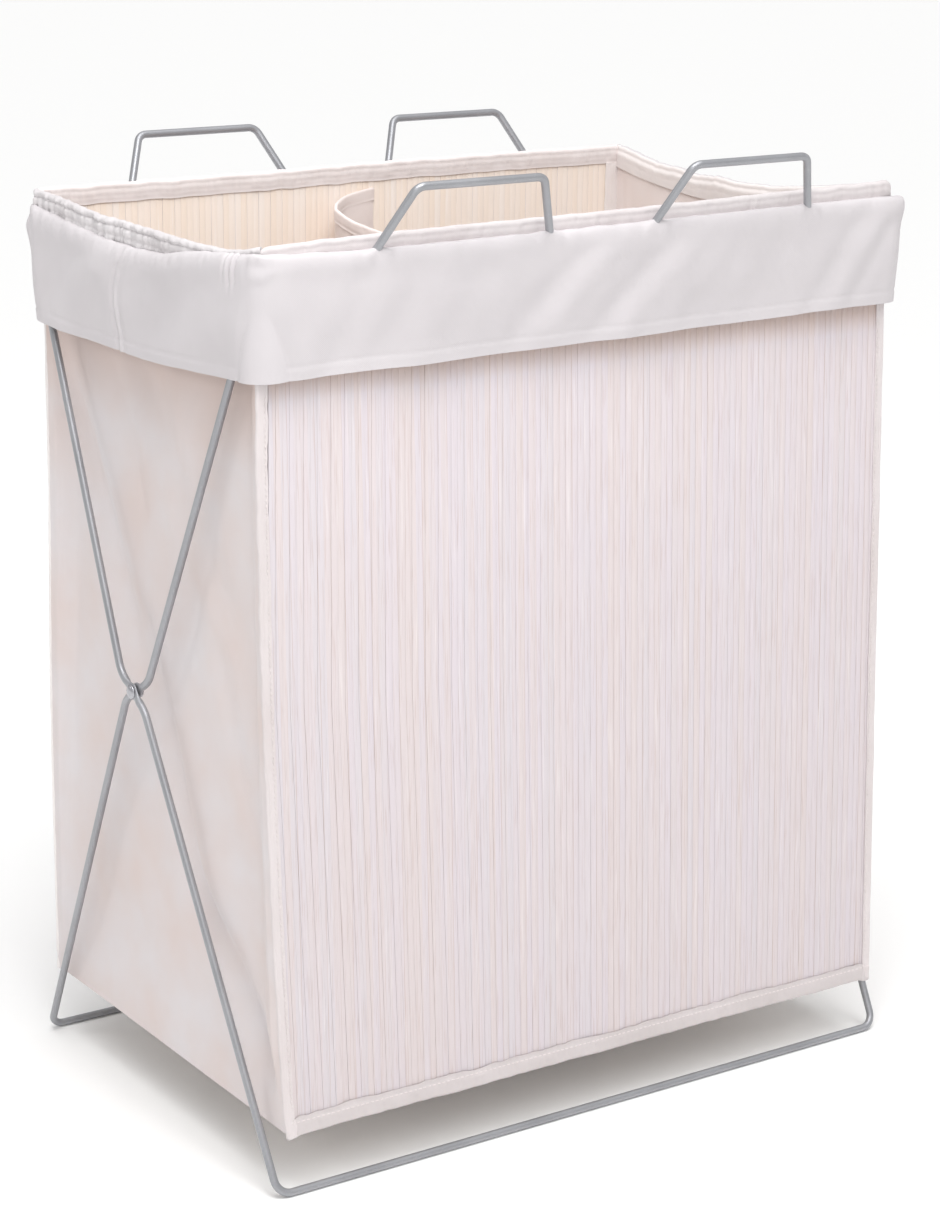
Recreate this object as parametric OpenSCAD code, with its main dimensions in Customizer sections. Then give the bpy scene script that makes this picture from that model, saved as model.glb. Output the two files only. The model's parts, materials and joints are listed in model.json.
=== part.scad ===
// Folding two-compartment laundry hamper. Two bent wire frames cross at the sides like an X
// and carry a bag with woven slat panels at the front and back and cloth at the sides.
// The origin is on the floor under the middle of the bag. X is the width and -Y the front.

/* [Wire frames] */
// Diameter of the coated steel wire
wire_d = 6; // [5:0.5:7]
// Depth between the two floor bars
floor_d = 380; // [340:1:420]
// Height of the two pivots above the floor
pivot_h = 344; // [320:1:360]
// Clearance between the bag's sides and the side wires at the top rails
rail_out = 0.5; // [0.3:0.1:3]
// Distance by which a side wire bows out from the rail to the pivot
pivot_out = 13; // [11:0.5:20]
// Distance by which a side wire stands out at the floor, from where it is at the rail
floor_out = 4.5; // [0:0.5:10]
// Depth between the two top rails
rail_d = 362; // [340:1:380]
// Height of the top rails above the floor
rail_h = 684; // [640:1:720]
// Radius of the bends at the ends of the bars and rails, at the middle of the wire
corner_r = 12; // [8:1:18]
// Length of leg that is bent up with each bar and rail
bar_end = 26; // [22:1:40]

/* [Crossing] */
// Depth of the bend on each side of the pivot
kink_y = 18.7; // [14:0.1:22]
// Height of the bend above and below the pivot
kink_z = 11.3; // [3.5:0.1:13]
// Radius of those bends
kink_r = 24; // [6:1:26]
// Shift of each wire's middle from the plane where the two frames meet
wire_shift = 1.9; // [1.6:0.1:2.5]
// Diameter of the flattened eye round the rivet
eye_d = 13; // [10:0.5:14]
// Thickness of the flattened eye
eye_t = 3.4; // [3:0.1:4]
// Diameter of the rivet's shank
rivet_d = 4; // [3:0.5:5]
// Diameter of the rivet's heads
head_d = 11.4; // [8.5:0.1:12]
// Height of the domed outer head
head_h = 2.6; // [2:0.1:3]
// Height of the pressed inner head
tail_h = 1.4; // [1:0.1:2]
// Running clearance round and beside the rivet
rivet_gap = 0.05; // [0.02:0.01:0.1]

/* [Handles] */
// Distance from the middle of the hamper to the middle of a handle
handle_x = 120; // [110:1:135]
// Width of a handle at the rail
handle_base = 154; // [140:1:165]
// Width of a handle across its grip
handle_top = 106; // [90:1:120]
// Height of the grip above the rail, measured along the leaning frame
handle_h = 58.3; // [50:0.1:70]
// Radius of the handle's two bends
handle_r = 9; // [6:1:14]

/* [Bag] */
// Width of the bag
bag_w = 559; // [500:1:620]
// Depth of the bag at its bottom
bag_d = 389; // [370:1:410]
// Height of the bag's bottom above the floor
bag_z = 47.6; // [35:0.1:70]
// Height of the rim above the rails
rim_up = 20.5; // [18:0.5:28]
// Thickness of the woven slats
slat_t = 2; // [1.5:0.1:3]
// Pitch of the slats
slat_pitch = 11; // [8:0.1:18]
// Width of the groove between two slats
groove_w = 0.8; // [0.5:0.1:1.2]
// Depth of that groove
groove_t = 0.5; // [0.3:0.1:0.6]
// Thickness of the plain cloth, two layers with their seam
cloth_t = 1.5; // [1:0.1:2]
// Thickness of one layer of binding tape
tape_t = 0.6; // [0.4:0.1:1]
// Width of the tape on the upright edges of the slat panels
tape_w = 9; // [6:1:14]
// Height of the hem along the bottom of the slat panels
foot_hem = 14; // [10:1:20]
// Thickness of the stiff bottom
bottom_t = 3; // [2:0.5:5]
// Height of the gathered band round the rim at the sides
band_h = 14; // [10:1:15]
// Thickness of that band
band_t = 6; // [4:0.5:7]
// Sag of the rim on the left side
sag_left = 11; // [5:1:15]
// Sag of the rim on the right side
sag_right = 20; // [10:1:25]
// Reach of the slack divider to each side of the middle
divider_sway = 14; // [5:1:20]
// Distance from the rim down to the divider's top edge
divider_drop = 29; // [20:1:45]
// Height of the hem along the divider's top edge
divider_hem_h = 10; // [6:1:14]

/* [Cuff] */
// Height of the cuff's top above the rails
cuff_up = 7; // [6.5:0.5:8]
// Height of the cuff
cuff_h = 85; // [60:1:110]
// Thickness of the cuff, two layers of cloth and the air between them
cuff_t = 2; // [1.5:0.1:3]
// Distance that the cuff hangs off the rail's casing
cuff_off = 2.2; // [1:0.1:4]
// Radius of the cuff's upright corners, inside
cuff_r = 13.5; // [8:1:20]
// Radius of the cuff's shoulder, inside
shoulder_r = 3; // [1:0.5:3]

/* [Hidden] */
// Clearance between soft parts and the wires, and between pieces that move apart
gap = 0.3;
tiny = 0.01;
$fn = 48;
SWEEP_STEPS = 16;
BEND_STEPS = 6;
WIRE_SIDES = 16;

// Widths between the side wires
rail_w = bag_w + wire_d + 2 * rail_out;
pivot_w = rail_w + 2 * pivot_out;
floor_w = rail_w + 2 * floor_out;

// Cloth channel round a rail, which ends short of the rail's corner bends
casing_in = wire_d / 2 + gap;
casing_drop = 8;
casing_end = 2;
casing_half = rail_w / 2 - corner_r - casing_end;
// Slits for the feet of the handles, from just below the middle of the rail upwards
slit_w = 15;
slit_low = -2;

// Slat panels, in a frame that lies along the rail and leans with the panel
panel_t = slat_t + 2 * tape_t;
panel_lean = atan((bag_d / 2 - rail_d / 2 + casing_in) / (rail_h - bag_z));
panel_len = (rail_h - bag_z) / cos(panel_lean);
rim_h = rail_h + rim_up;

// Lean of the upper legs, which the handles share
leg_lean = atan((rail_d / 2 - kink_y) / (rail_h - pivot_h - kink_z));

// Cuff, heights and inside faces
cuff_top = rail_h + cuff_up;
cuff_low = cuff_top - cuff_h;
cuff_leg_x = rail_w / 2
    + (pivot_w / 2 + wire_shift - rail_w / 2) * (rail_h - cuff_low) / (rail_h - pivot_h - kink_z);
cuff_in_x = ceil(10 * (cuff_leg_x + wire_d / 2 + gap)) / 10;
cuff_in_y = rail_d / 2 + casing_in + cloth_t + cuff_off;
cuff_seam_y = rail_d / 2 - casing_in + gap;
cuff_seam_x = bag_w / 2 + band_t - cloth_t + gap;

// Colours of the parts
wire_grey = "#a3a6ab";
rivet_grey = "#8f949c";
slat_white = "#ebe1dc";
cloth_white = "#efebeb";

// ---- Bent wire ----

function unit(v) = v / norm(v);

// Angle by which the wire turns at point i
function turn(points, i) =
    acos(unit(points[i] - points[i - 1]) * unit(points[i + 1] - points[i]));

// Length that the bend at point i takes from the straight wire on each side
function trim(points, i, r) =
    i == 0 || i == len(points) - 1 ? 0 : r * tan(turn(points, i) / 2);

// Points along the bend of radius r at point i, or the point itself at the ends
function bend_points(points, i, r) =
    i == 0 || i == len(points) - 1 ? [points[i]] :
    let (
        arrive = unit(points[i] - points[i - 1]),
        leave = unit(points[i + 1] - points[i]),
        inward = unit(leave - (leave * arrive) * arrive),
        centre = points[i] - arrive * trim(points, i, r) + inward * r
    )
    [
        for (k = [0:BEND_STEPS])
            let (a = turn(points, i) * k / BEND_STEPS)
            centre - inward * r * cos(a) + arrive * r * sin(a)
    ];

// Direction of the wire at point i of its middle line
function heading(line, i) =
    i == 0 ? unit(line[1] - line[0]) :
    i == len(line) - 1 ? unit(line[i] - line[i - 1]) :
    unit(unit(line[i + 1] - line[i]) + unit(line[i] - line[i - 1]));

// Side directions along the line, carried from one point to the next without twist
function side_steps(line, i, side) =
    i == len(line) ? [] :
    let (along = heading(line, i), next = unit(side - (side * along) * along))
    concat([next], side_steps(line, i + 1, next));

// Round wire along a list of points, with a bend of radius r at each inner point
module wire(points, r) {
    line = [for (i = [0:len(points) - 1]) each bend_points(points, i, r)];
    first = heading(line, 0);
    sides = side_steps(line, 0, cross(first, abs(first.z) < 0.8 ? [0, 0, 1] : [1, 0, 0]));
    last = len(line) - 1;
    ring = [for (k = [0:WIRE_SIDES - 1]) 360 * k / WIRE_SIDES];
    polyhedron(
        points = [
            for (i = [0:last])
                let (side = sides[i], up = cross(heading(line, i), side))
                for (a = ring) line[i] + (side * cos(a) + up * sin(a)) * wire_d / 2
        ],
        faces = concat(
            [[for (k = [0:WIRE_SIDES - 1]) k]],
            [[for (k = [WIRE_SIDES - 1:-1:0]) last * WIRE_SIDES + k]],
            [
                for (i = [0:last - 1], k = [0:WIRE_SIDES - 1])
                    let (a = i * WIRE_SIDES, b = a + WIRE_SIDES, n = (k + 1) % WIRE_SIDES)
                    [a + k, b + k, b + n, a + n]
            ]
        )
    );
}

// Mirrors the children to the left when side is -1
module to_side(side) {
    mirror([side < 0 ? 1 : 0, 0, 0]) children();
}

// Mirrors the children to the back when face is 1; they are drawn at the front
module to_face(face) {
    mirror([0, face > 0 ? 1 : 0, 0]) children();
}

// Points of the right leg of a frame. back is 1 for the frame whose rail is at the back, which
// crosses outside the other, and -1 for the frame whose rail is at the front.
function leg_points(back) = [
    [floor_w / 2, -back * floor_d / 2, wire_d / 2],
    [pivot_w / 2 + back * wire_shift, -back * kink_y, pivot_h - kink_z],
    [pivot_w / 2 + back * wire_shift, back * kink_y, pivot_h + kink_z],
    [rail_w / 2, back * rail_d / 2, rail_h]
];

function leftward(p) = [-p.x, p.y, p.z];

// Point on the leg at bar_end from the corner at point a, towards point b
function joint_point(a, b) = a + unit(b - a) * bar_end;

// Floor bar or rail between two corners, with a short stretch of each leg
module cross_bar(corner, next) {
    right_end = joint_point(corner, next);
    color(wire_grey)
        wire([leftward(right_end), leftward(corner), corner, right_end], corner_r);
}

module floor_bar(back) {
    p = leg_points(back);
    cross_bar(p[0], p[1]);
}

module rail(back) {
    p = leg_points(back);
    cross_bar(p[3], p[2]);
}

// Round disc on the pivot's axis between two distances from the middle of the hamper
module pivot_disc(x0, x1, d) {
    translate([x0, 0, pivot_h]) rotate([0, 90, 0]) cylinder(d = d, h = x1 - x0);
}

module leg(back, side) {
    p = leg_points(back);
    meet = pivot_w / 2 + back * rivet_gap;
    face = meet + back * eye_t;
    thin_d = 2 * kink_y - wire_d;
    color(wire_grey) to_side(side) difference() {
        union() {
            difference() {
                wire([joint_point(p[0], p[1]), p[1], p[2], joint_point(p[3], p[2])], kink_r);
                pivot_disc(min(meet, meet - back * wire_d), max(meet, meet - back * wire_d), thin_d);
                pivot_disc(min(face, face + back * wire_d), max(face, face + back * wire_d), eye_d + 2);
            }
            pivot_disc(min(meet, face), max(meet, face), eye_d);
        }
        pivot_disc(pivot_w / 2 - 2 * wire_d, pivot_w / 2 + 2 * wire_d, rivet_d + 2 * rivet_gap);
    }
}

// Rivet with a domed head outside and a flat pressed head inside
module rivet(side) {
    reach = eye_t + 2 * rivet_gap;
    dome_r = (head_d * head_d / 4 + head_h * head_h) / (2 * head_h);
    color(rivet_grey) to_side(side) translate([pivot_w / 2, 0, pivot_h]) rotate([0, 90, 0])
        rotate_extrude() {
            translate([0, -reach - tail_h]) square([rivet_d / 2, 2 * reach + tail_h + tiny]);
            translate([0, -reach - tail_h]) square([(head_d - 1) / 2, tail_h]);
            intersection() {
                translate([0, reach + head_h - dome_r]) circle(r = dome_r);
                translate([0, reach]) square([head_d, head_h]);
            }
        }
}

// Handle bent from one wire, its feet shaped to the rail that they are welded on
module handle(face, side) {
    up = [0, -sin(leg_lean), cos(leg_lean)];
    foot = [handle_x, -rail_d / 2, rail_h];
    half_base = [handle_base / 2, 0, 0];
    half_top = [handle_top / 2, 0, 0];
    top = foot + up * handle_h;
    color(wire_grey) to_side(side) to_face(face) difference() {
        wire([foot - half_base, top - half_top, top + half_top, foot + half_base], handle_r);
        translate([0, foot.y, foot.z]) rotate([0, 90, 0]) cylinder(d = wire_d, h = rail_w);
    }
}

// ---- Slat panels and what is sewn on them ----

// Frame of the front panel: its X axis lies on the rail and it leans as the panel does
module on_panel(face) {
    to_face(face) translate([0, -rail_d / 2, rail_h]) rotate([-panel_lean, 0, 0]) children();
}

// Block between two corners
module block(a, b) {
    translate(a) cube(b - a);
}

// Slats woven side by side into one stiff sheet, with a groove between them on both faces
module slats(face) {
    half = bag_w / 2 - tape_t;
    low = -panel_len + tape_t;
    skin_y = casing_in + tape_t;
    count = floor(half / slat_pitch);
    color(slat_white) on_panel(face) difference() {
        block([-half, skin_y, low], [half, skin_y + slat_t, -casing_drop]);
        for (i = [-count:count], y = [skin_y, skin_y + slat_t - groove_t])
            block([i * slat_pitch - groove_w / 2, y, low + foot_hem],
                  [i * slat_pitch + groove_w / 2, y + groove_t, -casing_drop - tape_w]);
    }
}

// Folded tape round one edge: a C with its mouth towards +X
module tape_section(width) {
    difference() {
        square([width, panel_t]);
        translate([tape_t, tape_t]) square([width, panel_t - 2 * tape_t]);
    }
}

module edge_tapes(face) {
    color(cloth_white) on_panel(face) for (side = [-1, 1]) mirror([side > 0 ? 1 : 0, 0, 0])
        translate([-bag_w / 2, casing_in, -panel_len + foot_hem])
            linear_extrude(panel_len - foot_hem - casing_drop) tape_section(tape_w);
}

module foot_hem(face) {
    color(cloth_white) on_panel(face)
        translate([-bag_w / 2, casing_in, -panel_len])
            rotate([90, 0, 90]) linear_extrude(bag_w) rotate(90) mirror([0, 1])
                tape_section(foot_hem);
}

module rim_hem(face) {
    color(cloth_white) on_panel(face) {
        block([-bag_w / 2, casing_in, casing_in], [bag_w / 2, casing_in + panel_t, rim_up]);
        block([-casing_half, casing_in, -casing_drop], [casing_half, casing_in + panel_t, rim_up]);
    }
}

// Room for the feet of the two handles, between two depths, from z0 upwards
module handle_slits(y0, y1, z0) {
    for (x = [-1, 1] * handle_x, foot = [-1, 1] * (handle_base - casing_in) / 2)
        block([x + foot - slit_w / 2, y0, z0], [x + foot + slit_w / 2, y1, z0 + slit_w]);
}

// Channel sewn to the rim hem: it hangs the panel on the rail
module rail_casing(face) {
    out = casing_in + cloth_t;
    color(cloth_white) on_panel(face) difference() {
        block([-casing_half, -out, -casing_drop], [casing_half, casing_in, out]);
        block([-bag_w, -casing_in, -casing_drop - 1], [bag_w, casing_in + 1, casing_in]);
        handle_slits(-out - 1, casing_in + 1, slit_low);
    }
}

// ---- Cuff that hangs over the rim ----

// Section of the cuff: x is the distance from its seam outwards, y the height
module cuff_section(reach) {
    drop = cuff_top - cuff_low;
    outer_r = shoulder_r + cuff_t;
    difference() {
        union() {
            translate([0, cuff_low]) square([reach + cuff_t - outer_r, drop]);
            translate([0, cuff_low]) square([reach + cuff_t, drop - outer_r]);
            intersection() {
                translate([reach - shoulder_r, cuff_top - outer_r]) circle(r = outer_r);
                translate([0, cuff_low]) square([reach + cuff_t, drop]);
            }
        }
        translate([-1, cuff_low - 1]) square([reach - shoulder_r + 1, drop - cuff_t + 1]);
        translate([-1, cuff_low - 1]) square([reach + 1, drop - outer_r + 1]);
        translate([reach - shoulder_r, cuff_top - outer_r]) circle(r = shoulder_r);
    }
}

module long_cuff(face) {
    half = cuff_in_x - cuff_r;
    reach = cuff_in_y - cuff_seam_y;
    color(cloth_white) to_face(face) difference() {
        union() {
            translate([-half, -cuff_seam_y, 0]) rotate([90, 0, 90])
                linear_extrude(2 * half) mirror([1, 0]) cuff_section(reach);
            for (side = [-1, 1]) to_side(side)
                translate([half, -cuff_in_y + cuff_r, 0]) rotate([0, 0, -90])
                    rotate_extrude(angle = 90) intersection() {
                        translate([cuff_r - reach, 0]) cuff_section(reach);
                        square([2 * cuff_r, 2 * cuff_top]);
                    }
        }
        handle_slits(-cuff_in_y - cuff_t - 1, -cuff_seam_y + 1, rail_h + wire_d / 2);
    }
}

module side_cuff(side) {
    half = cuff_in_y - cuff_r - gap;
    reach = cuff_in_x - cuff_seam_x;
    color(cloth_white) to_side(side)
        translate([cuff_seam_x, half, 0]) rotate([90, 0, 0])
            linear_extrude(2 * half) cuff_section(reach);
}

// ---- Soft parts between the two panels ----

// Distance from the middle to the inside of a panel at height z, less the clearance
function inside_y(z) =
    rail_d / 2 - (casing_in + panel_t + gap) / cos(panel_lean) + (rail_h - z) * tan(panel_lean);

// Heights of a sagging edge that is at height z at its ends
function sag_points(z, sag) = [
    for (i = [-SWEEP_STEPS:SWEEP_STEPS])
        let (t = i / SWEEP_STEPS) [t * inside_y(z), z - sag * (1 - t * t)]
];

function backwards(list) = [for (i = [len(list) - 1:-1:0]) list[i]];

// Upright sheet on the right side, from an outline of [y, z] points
module upright(x0, x1, outline) {
    translate([x0, 0, 0]) rotate([90, 0, 90]) linear_extrude(x1 - x0) polygon(outline);
}

module side_cloth(side) {
    sag = side < 0 ? sag_left : sag_right;
    low = bag_z + tiny;
    color(cloth_white) to_side(side)
        upright(bag_w / 2 - cloth_t, bag_w / 2, concat(
            [[inside_y(low), low], [-inside_y(low), low]],
            sag_points(rim_h - band_h, sag)
        ));
}

module rim_band(side) {
    sag = side < 0 ? sag_left : sag_right;
    color(cloth_white) to_side(side)
        upright(bag_w / 2 - cloth_t, bag_w / 2 - cloth_t + band_t, concat(
            backwards(sag_points(rim_h, sag)),
            sag_points(rim_h - band_h, sag)
        ));
}

module bottom_board() {
    half_x = bag_w / 2 - cloth_t;
    half_y = inside_y(bag_z + bottom_t);
    color(cloth_white)
        block([-half_x, -half_y, bag_z], [half_x, half_y, bag_z + bottom_t]);
}

// Wavy sheet across the middle, between two heights
module wavy_sheet(t, z0, z1) {
    half = inside_y(z1);
    line = [
        for (i = [-SWEEP_STEPS:SWEEP_STEPS])
            let (s = i / SWEEP_STEPS) [-divider_sway * sin(180 * s), s * half]
    ];
    translate([0, 0, z0]) linear_extrude(z1 - z0) polygon(concat(
        [for (p = line) p + [t / 2, 0]],
        backwards([for (p = line) p - [t / 2, 0]])
    ));
}

module divider() {
    color(cloth_white)
        wavy_sheet(cloth_t, bag_z + bottom_t, rim_h - divider_drop - divider_hem_h);
}

module divider_hem() {
    top = rim_h - divider_drop;
    color(cloth_white) wavy_sheet(cloth_t + 1, top - divider_hem_h, top);
}

// ---- Nodes ----

floor_bar(1);  // front_floor_bar
leg(1, -1);  // left_outer_leg
leg(1, 1);  // right_outer_leg
rail(1);  // rear_rail
handle(1, -1);  // rear_left_handle
handle(1, 1);  // rear_right_handle
floor_bar(-1);  // rear_floor_bar
leg(-1, -1);  // left_inner_leg
leg(-1, 1);  // right_inner_leg
rail(-1);  // front_rail
handle(-1, -1);  // front_left_handle
handle(-1, 1);  // front_right_handle
rivet(-1);  // left_rivet
rivet(1);  // right_rivet
slats(-1);  // front_slats
edge_tapes(-1);  // front_edge_tapes
foot_hem(-1);  // front_foot_hem
rim_hem(-1);  // front_rim_hem
rail_casing(-1);  // front_rail_casing
long_cuff(-1);  // front_cuff
slats(1);  // rear_slats
edge_tapes(1);  // rear_edge_tapes
foot_hem(1);  // rear_foot_hem
rim_hem(1);  // rear_rim_hem
rail_casing(1);  // rear_rail_casing
long_cuff(1);  // rear_cuff
side_cloth(-1);  // left_side_cloth
side_cloth(1);  // right_side_cloth
bottom_board();
divider();
divider_hem();
rim_band(-1);  // left_rim_band
rim_band(1);  // right_rim_band
side_cuff(-1);  // left_cuff
side_cuff(1);  // right_cuff
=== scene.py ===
"""Folding laundry hamper: two crossed wire frames carry a cloth bag with two woven slat panels.

Lengths are in millimetres in the functions below and become metres where a mesh is made.
"""
import json
import math
import bpy
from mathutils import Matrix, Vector, noise


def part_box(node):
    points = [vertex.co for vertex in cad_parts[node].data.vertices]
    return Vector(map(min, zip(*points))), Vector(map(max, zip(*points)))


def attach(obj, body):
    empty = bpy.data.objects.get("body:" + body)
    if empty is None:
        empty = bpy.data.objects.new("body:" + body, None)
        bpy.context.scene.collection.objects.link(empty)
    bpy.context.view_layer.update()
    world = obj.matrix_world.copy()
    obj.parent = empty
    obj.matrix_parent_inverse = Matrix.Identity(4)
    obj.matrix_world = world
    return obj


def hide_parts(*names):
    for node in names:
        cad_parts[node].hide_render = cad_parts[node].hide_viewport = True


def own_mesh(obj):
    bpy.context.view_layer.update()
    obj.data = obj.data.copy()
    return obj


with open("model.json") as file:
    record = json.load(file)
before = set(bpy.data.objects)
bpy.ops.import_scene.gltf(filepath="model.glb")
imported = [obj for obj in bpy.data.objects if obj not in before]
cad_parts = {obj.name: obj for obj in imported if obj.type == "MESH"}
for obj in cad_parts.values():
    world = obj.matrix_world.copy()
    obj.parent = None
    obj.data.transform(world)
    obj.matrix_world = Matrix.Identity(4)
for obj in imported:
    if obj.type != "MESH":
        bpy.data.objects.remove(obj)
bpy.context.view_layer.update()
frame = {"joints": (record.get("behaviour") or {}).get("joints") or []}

MM = 0.001
joints = {joint["name"]: joint for joint in frame["joints"]}


def node_box(name):
    """Lowest and highest corner of a CAD node, in millimetres."""
    low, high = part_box(name)
    return low / MM, high / MM


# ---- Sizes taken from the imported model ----

PIVOT_H = joints["fold"]["pos_m"][2] / MM
RAIL_Y = joints["rear_panel_swing"]["pos_m"][1] / MM
RAIL_H = joints["rear_panel_swing"]["pos_m"][2] / MM
BAG_HALF = node_box("right_side_cloth")[1].x
BAG_LOW = node_box("bottom_board")[0].z
BOARD_TOP = node_box("bottom_board")[1].z
BAG_HALF_LOW = node_box("right_side_cloth")[1].y
RIM_H = node_box("right_rim_band")[1].z
BAND_OUT = node_box("right_rim_band")[1].x
CUFF_OUT_X = node_box("front_cuff")[1].x
CUFF_OUT_Y = -node_box("front_cuff")[0].y
CUFF_END_Y = node_box("right_cuff")[1].y
CUFF_LOW = node_box("front_cuff")[0].z

# ---- Sizes of the wire frames ----

WIRE_D = 6.0
FLOOR_Y = 190.0
FLOOR_X = 287.5
PIVOT_X = 296.0
RAIL_X = 283.0
WIRE_SHIFT = 1.9
KINK_Y, KINK_Z, KINK_R = 18.7, 11.3, 24.0
CORNER_R = 12.0
HANDLE_X, HANDLE_H, HANDLE_R = 120.0, 58.3, 9.0
HANDLE_BASE, HANDLE_TOP = 154.0, 106.0
# Thickness of the pressed eye, and how far its middle lies from the middle between the frames
EYE_T, EYE_MIDDLE = 3.4, 1.75
# The pressed eye from its end to the rivet: distance from the rivet, thickness and width
EYE = ((11.5, 6.0, 6.0), (9.4, 4.8, 6.2), (7.0, 3.7, 7.2), (5.4, 3.4, 8.8), (3.3, 3.4, 11.4),
       (0.0, 3.4, 13.0))

# ---- Sizes of the slat panels ----

PANEL_IN = 3.3
PANEL_T = 3.2
PANEL_MID = PANEL_IN + PANEL_T / 2
PANEL_LEAN = math.atan((BAG_HALF_LOW + 3.8 - RAIL_Y) / (RAIL_H - BAG_LOW))
PANEL_LEN = (RAIL_H - BAG_LOW) / math.cos(PANEL_LEAN)
SLAT_PITCH = 11.0
SLAT_T = 2.0
TAPE_W = 8.0
TAPE_IN_W = 14.0
FOOT_HEM = 15.0
RIM_HEM = 15.0

# ---- Sizes of the cloth ----

FOOT_HEM_T, TAPE_T, HEM_T, SIDE_T, CUFF_T = 0.6, 0.7, 0.8, 1.0, 1.3
STITCH_LONG, STITCH_WIDE, STITCH_STEP = 2.6, 0.7, 4.2
# How far the front panel's left edge bows out, by height
FRONT_LEFT_BOW = ((46, 0.2), (100, 3.3), (200, 6.4), (300, 8.6), (400, 9.6), (500, 9.2), (600, 7.6),
                  (650, 4.5), (690, 0))


# ---- Small helpers ----

def between(points, x):
    """Height at x of a smooth line through (x, height) points in rising order of x."""
    if x <= points[0][0]:
        return points[0][1]
    if x >= points[-1][0]:
        return points[-1][1]
    i = max(k for k in range(len(points) - 1) if points[k][0] <= x)

    def slope(k):
        a, b = points[max(k - 1, 0)], points[min(k + 1, len(points) - 1)]
        return (b[1] - a[1]) / (b[0] - a[0])

    (x0, y0), (x1, y1) = points[i], points[i + 1]
    h = x1 - x0
    t = (x - x0) / h
    return (
        y0 * (2 * t ** 3 - 3 * t ** 2 + 1) + y1 * (3 * t ** 2 - 2 * t ** 3)
        + slope(i) * h * (t ** 3 - 2 * t ** 2 + t) + slope(i + 1) * h * (t ** 3 - t ** 2)
    )


def hump(x, width):
    """1 at x = 0, falling smoothly to nothing about two widths away."""
    return math.exp(-(x / width) ** 2)


def ease(t):
    """0 below 0, 1 above 1, and smooth between."""
    t = min(max(t, 0.0), 1.0)
    return t * t * (3 - 2 * t)


def ripple(a, b, seed):
    """Smooth random height, about -1 to 1, at a place on a cloth; a and b are in wavelengths."""
    return noise.noise(Vector((a, b, seed * 17.3))) * 1.6


def from_line(p, a, b):
    """Distance of point p to the left of the line from a to b, and how far along it, 0 to 1."""
    ax, ay = b[0] - a[0], b[1] - a[1]
    length = math.hypot(ax, ay)
    px, py = p[0] - a[0], p[1] - a[1]
    return (ax * py - ay * px) / length, (px * ax + py * ay) / length ** 2


def deselect():
    for piece in bpy.context.selected_objects:
        piece.select_set(False)


def only(piece):
    deselect()
    piece.select_set(True)
    bpy.context.view_layer.objects.active = piece


def apply_modifier(piece, kind, **settings):
    only(piece)
    modifier = piece.modifiers.new(kind.title(), kind)
    for name, value in settings.items():
        setattr(modifier, name, value)
    bpy.ops.object.modifier_apply(modifier=modifier.name)


def block(size, height=0.0):
    """Block of a size, with its middle at a height."""
    deselect()
    bpy.ops.mesh.primitive_cube_add(size=1, location=(0, 0, height * MM))
    piece = bpy.context.object
    piece.scale = [length * MM for length in size]
    bpy.ops.object.transform_apply()
    return piece


def repeat(piece, count, step):
    """Sets copies of the piece in a row."""
    apply_modifier(piece, "ARRAY", count=count, use_relative_offset=False, use_constant_offset=True,
                   constant_offset_displace=[length * MM for length in step])


def reshape(piece, move):
    """Moves each vertex to where move(x, y, z) puts it."""
    for vertex in piece.data.vertices:
        vertex.co = Vector(move(*(vertex.co / MM))) * MM


def named(piece, name):
    piece.name = name
    piece.data.name = name
    return piece


def edit(piece, select="SELECT"):
    only(piece)
    bpy.ops.object.mode_set(mode="EDIT")
    bpy.ops.mesh.select_all(action=select)


def leave_edit():
    bpy.ops.object.mode_set(mode="OBJECT")


def close_up(piece, gap=0.01):
    """Merges doubles and turns the faces outwards."""
    edit(piece)
    bpy.ops.mesh.remove_doubles(threshold=gap * MM)
    bpy.ops.mesh.normals_make_consistent(inside=False)
    leave_edit()


def smooth(piece, angle):
    only(piece)
    bpy.ops.object.shade_smooth_by_angle(angle=math.radians(angle))


def paint(piece, *materials):
    piece.data.materials.clear()
    for material in materials:
        piece.data.materials.append(material)


def dress(piece, body, nodes):
    """The piece rides on a body and stands for CAD nodes, which are hidden."""
    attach(piece, body)
    if nodes:
        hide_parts(*nodes)
    return piece


def crumple(piece, nodes):
    """As dress, on the bag, for the bag's cloth between the two panels; the piece gets its own copy
    of its mesh.
    """
    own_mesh(piece)
    return dress(piece, "bag", nodes)


# ---- Materials ----

COLOUR_MIX = {"kind": "Mix", "out": 2, "data_type": "RGBA"}


def colour(code):
    """Linear colour of an sRGB hex code."""
    parts = [int(code[i:i + 2], 16) / 255 for i in (1, 3, 5)]
    linear = (c / 12.92 if c <= 0.04045 else ((c + 0.055) / 1.055) ** 2.4 for c in parts)
    return tuple(linear) + (1.0,)


def connect(tree, node, inputs):
    """Gives each input of a node its value, the colour of a hex code, or a link from an output. An
    output may come with (place, grey level) stops, which it is graded by."""
    for name, value in inputs.items():
        if isinstance(value, tuple) and isinstance(value[0], bpy.types.NodeSocket):
            value = add(tree, "ValToRGB", {"Fac": value[0]}, stops=value[1:])
        if isinstance(value, bpy.types.NodeSocket):
            tree.links.new(value, node.inputs[name])
        else:
            node.inputs[name].default_value = colour(value) if isinstance(value, str) else value


def add(tree, kind, inputs=(), out=0, stops=(), **settings):
    """Adds a node with its settings, inputs and (place, grey level) stops; gives one output."""
    made = tree.nodes.new("ShaderNode" + kind)
    for name, value in settings.items():
        setattr(made, name, value)
    connect(tree, made, dict(inputs))
    while stops and len(made.color_ramp.elements) < len(stops):
        made.color_ramp.elements.new(0.5)
    for point, (place, level) in zip(made.color_ramp.elements if stops else (), stops):
        point.position = place
        point.color = (level, level, level, 1)
    return made.outputs[out]


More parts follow.
